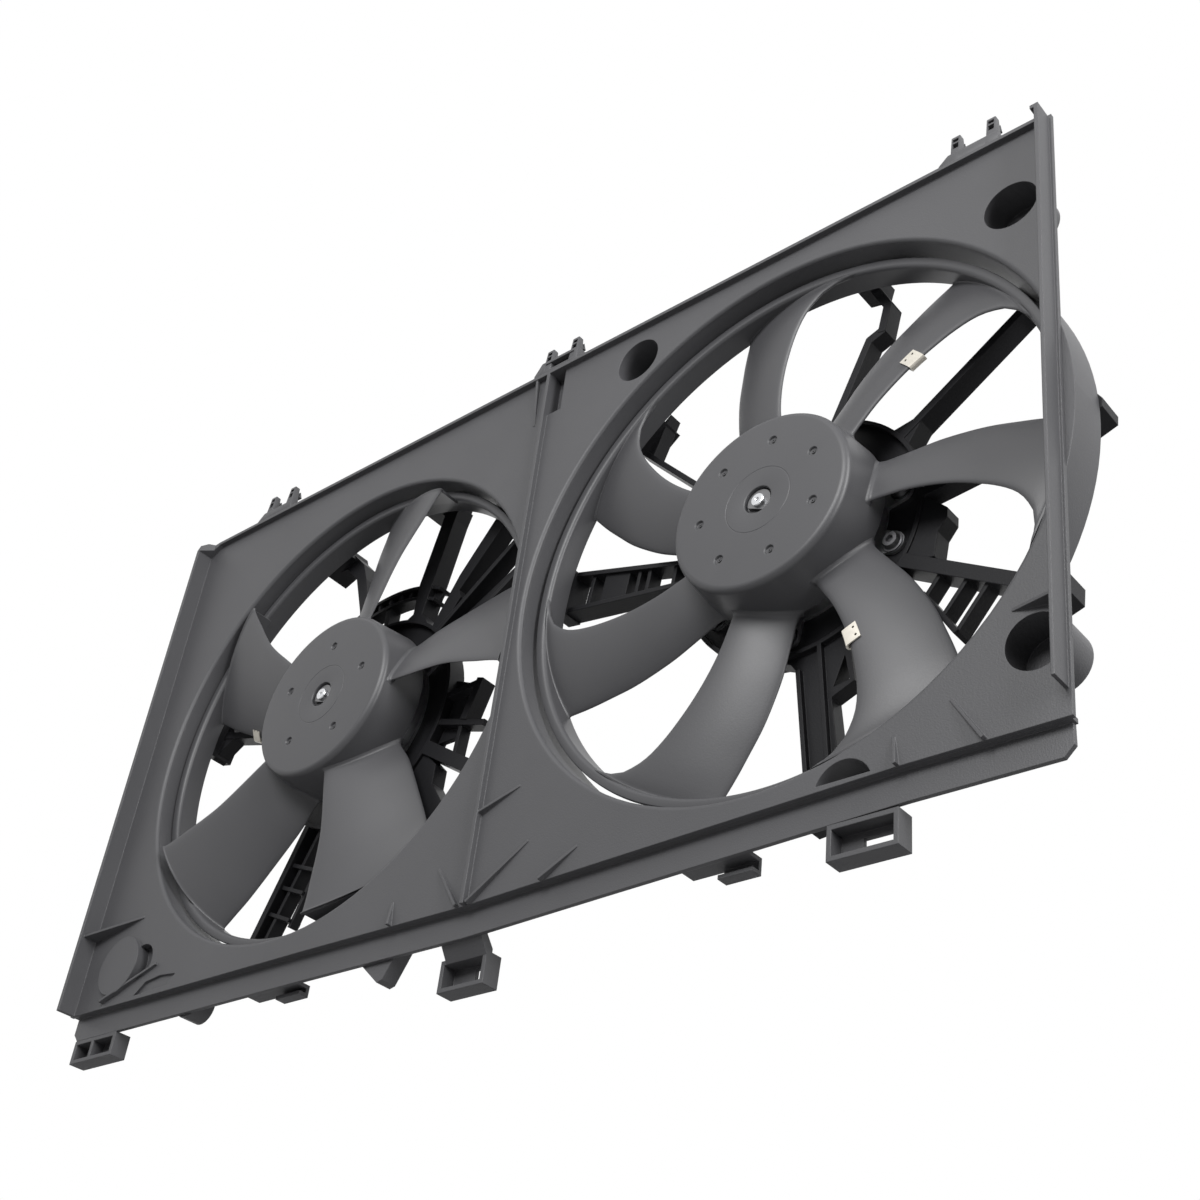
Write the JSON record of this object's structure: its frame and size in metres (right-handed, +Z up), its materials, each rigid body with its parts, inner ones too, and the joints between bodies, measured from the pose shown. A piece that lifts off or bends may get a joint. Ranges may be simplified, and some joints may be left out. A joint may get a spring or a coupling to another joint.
{
  "type": "radiator cooling fan",
  "caption": "Moulded shroud for a vehicle radiator with electric cooling fans side by side, motors held on rear arms, snap prongs on top and lug pockets below.",
  "frame": {"origin": "middle of the front plane of the rim, at half the height of the rim and half of its width", "axes": "+Z up, +Y from the radiator towards the engine, +X to the right as seen from the radiator side, as in the picture"},
  "size_m": [0.7103, 0.0786, 0.4414],
  "materials": {
    "plastic": "moulded charcoal glass-filled plastic, slightly rough",
    "black_plastic": "moulded black plastic",
    "clip": "thin cream coated sheet steel",
    "steel": "bright plated steel",
    "plated_steel": "drawn zinc-plated steel sheet",
    "laminations": "stacked electrical steel sheets",
    "copper": "enamelled copper wire and copper bars",
    "bronze": "sintered bronze and brass",
    "ferrite": "dark ferrite ceramic",
    "carbon": "pressed carbon"
  },
  "bodies": {
    "shroud": {"shroud_panel": "plastic", "left_barrel": "plastic", "right_barrel": "plastic", "bottom_skirt": "plastic", "left_foot": "plastic", "centre_foot": "plastic", "right_foot": "plastic", "top_clips": "plastic", "harness_hooks": "plastic", "left_spider": "plastic", "right_spider": "plastic", "left_can": "plated_steel", "left_end_cap": "plated_steel", "left_magnets": "ferrite", "left_brush_card": "black_plastic", "left_brushes": "carbon", "left_brush_springs": "steel", "left_bearings": "bronze", "left_screws": "steel", "left_socket": "black_plastic", "left_pins": "bronze", "right_can": "plated_steel", "right_end_cap": "plated_steel", "right_magnets": "ferrite", "right_brush_card": "black_plastic", "right_brushes": "carbon", "right_brush_springs": "steel", "right_bearings": "bronze", "right_screws": "steel", "right_socket": "black_plastic", "right_pins": "bronze"},
    "left_rotor": {"left_fan": "plastic", "left_balance_clip": "clip", "left_shaft": "steel", "left_shaft_clip": "steel", "left_core": "laminations", "left_windings": "copper", "left_commutator": "copper"},
    "right_rotor": {"right_fan": "plastic", "right_balance_clips": "clip", "right_shaft": "steel", "right_shaft_clip": "steel", "right_core": "laminations", "right_windings": "copper", "right_commutator": "copper"}
  },
  "joints": [
    {"name": "left_fan_spin", "type": "hinge", "parent": "shroud", "child": "left_rotor", "pos_m": [-0.1572, 0.02, -0.0096], "axis": [0, 1, 0], "continuous": true},
    {"name": "right_fan_spin", "type": "hinge", "parent": "shroud", "child": "right_rotor", "pos_m": [0.182, 0.02, -0.001], "axis": [0, 1, 0], "continuous": true}
  ]
}
